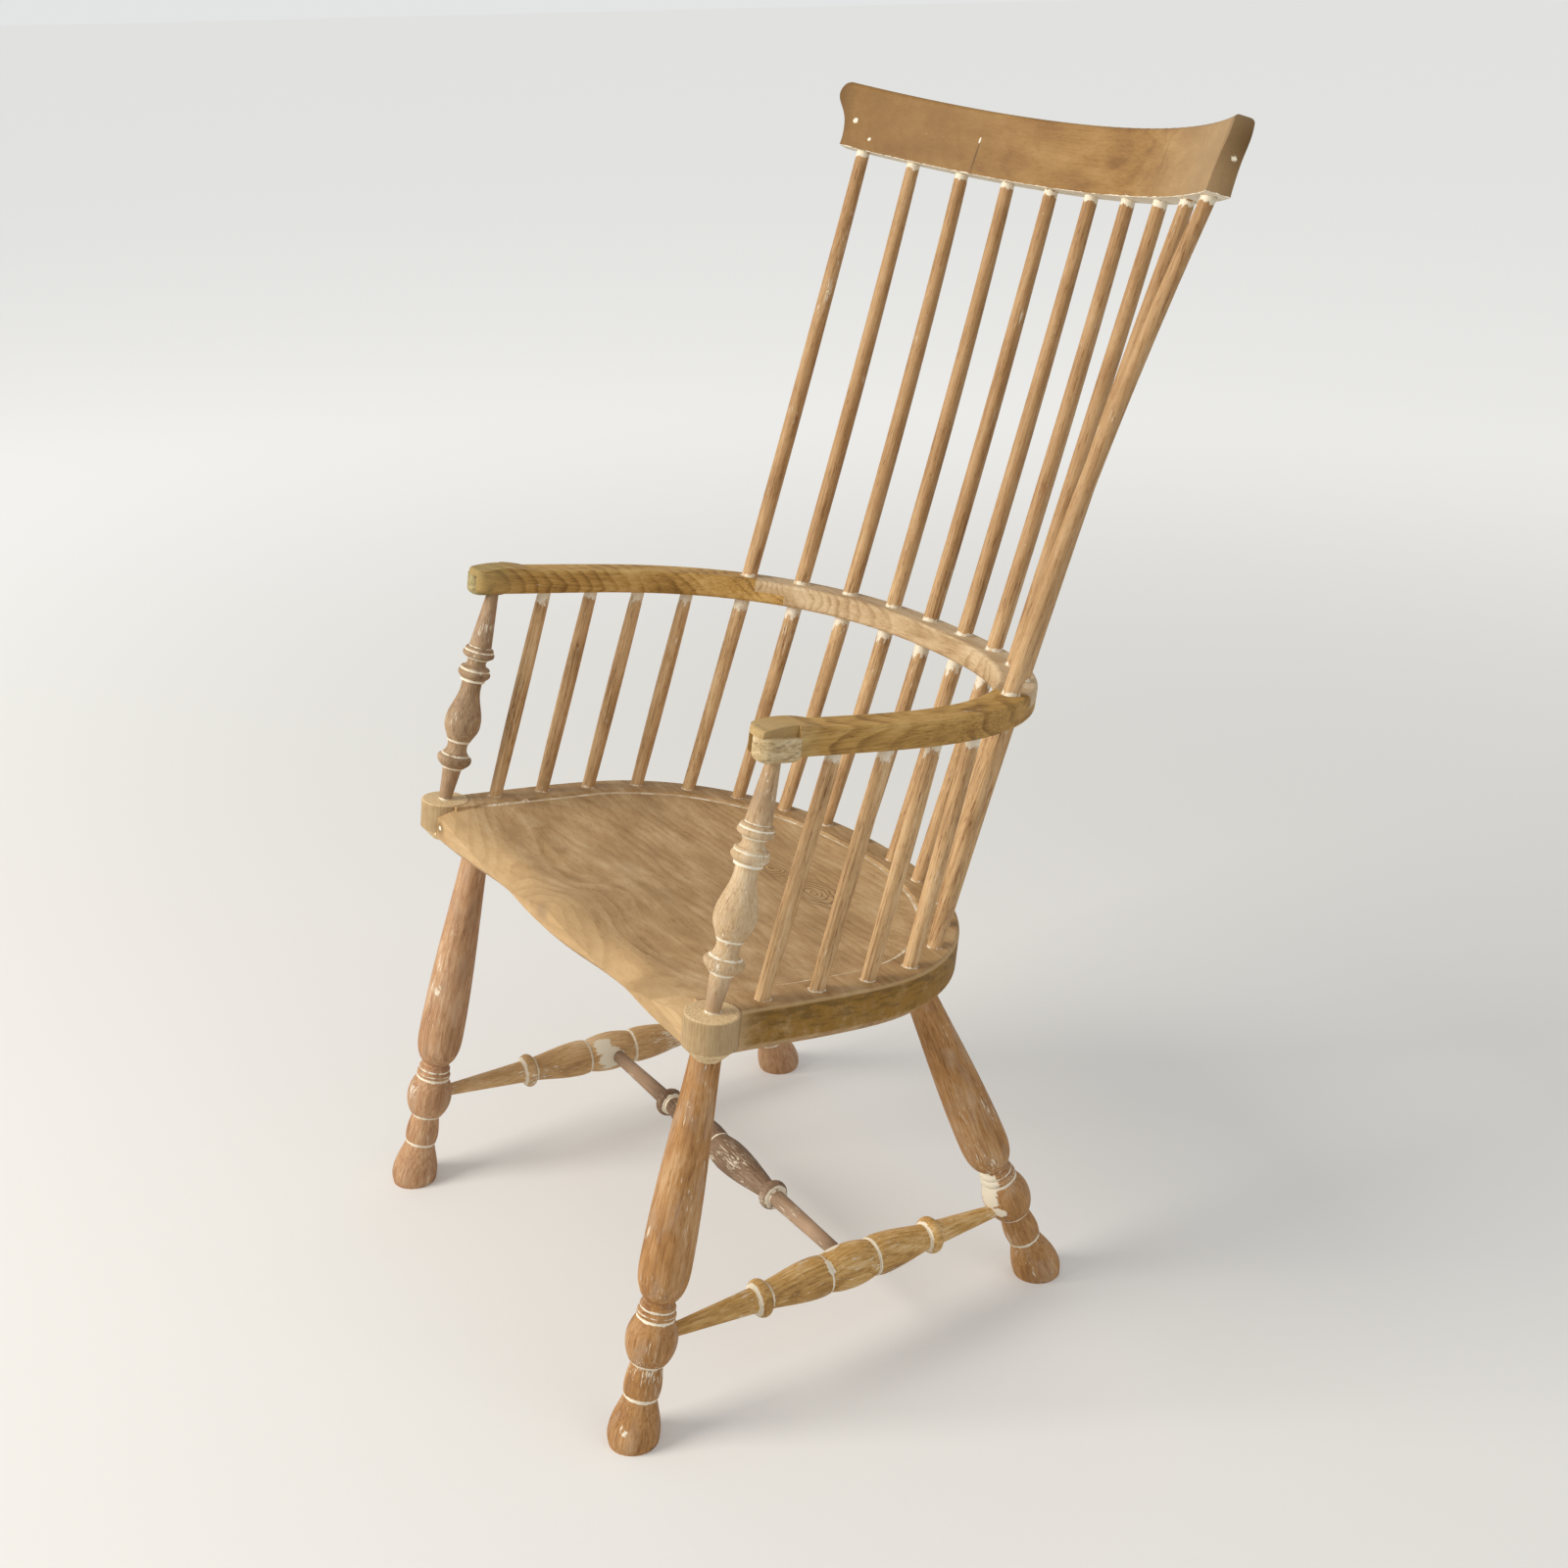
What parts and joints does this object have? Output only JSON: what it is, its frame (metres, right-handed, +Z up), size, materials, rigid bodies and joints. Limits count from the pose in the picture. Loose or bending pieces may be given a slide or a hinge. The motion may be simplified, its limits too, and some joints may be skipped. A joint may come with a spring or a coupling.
{
  "type": "windsor chair",
  "caption": "Comb-back windsor armchair: dished plank seat on splayed turned legs, with sawn arm rail, turned arm posts and spindle back under a curved comb.",
  "frame": {"origin": "centre of the chair's outline seen from above, at floor level", "axes": "+Z up from the floor; -Y is the way the sitter faces, so the comb is towards +Y; +X is the sitter's left"},
  "size_m": [0.6379, 0.7481, 1.177],
  "materials": {
    "seat_wood": "bare, stripped, dull",
    "comb_wood": "bare, stripped, dull",
    "leg_wood": "bare with traces of cream paint, dull",
    "stretcher_wood": "bare with traces of cream paint, dull",
    "post_wood": "bare with traces of cream paint, dull",
    "rail_wood": "bare, stripped, dull",
    "block_wood": "bare end grain with traces of cream paint, dull",
    "spindle_wood": "bare with traces of cream paint, dull"
  },
  "bodies": {
    "root": {"arm_post_left": "post_wood", "arm_post_right": "post_wood", "arm_rail_back": "rail_wood", "arm_rail_left": "rail_wood", "arm_rail_right": "rail_wood", "comb": "comb_wood", "hand_block_left": "block_wood", "hand_block_right": "block_wood", "leg_back_left": "leg_wood", "leg_back_right": "leg_wood", "leg_front_left": "leg_wood", "leg_front_right": "leg_wood", "long_spindle_1": "spindle_wood", "long_spindle_10": "spindle_wood", "long_spindle_2": "spindle_wood", "long_spindle_3": "spindle_wood", "long_spindle_4": "spindle_wood", "long_spindle_5": "spindle_wood", "long_spindle_6": "spindle_wood", "long_spindle_7": "spindle_wood", "long_spindle_8": "spindle_wood", "long_spindle_9": "spindle_wood", "seat": "seat_wood", "short_spindle_left_1": "spindle_wood", "short_spindle_left_2": "spindle_wood", "short_spindle_left_3": "spindle_wood", "short_spindle_left_4": "spindle_wood", "short_spindle_right_1": "spindle_wood", "short_spindle_right_2": "spindle_wood", "short_spindle_right_3": "spindle_wood", "short_spindle_right_4": "spindle_wood", "stretcher_left": "stretcher_wood", "stretcher_middle": "stretcher_wood", "stretcher_right": "stretcher_wood"}
  },
  "joints": []
}
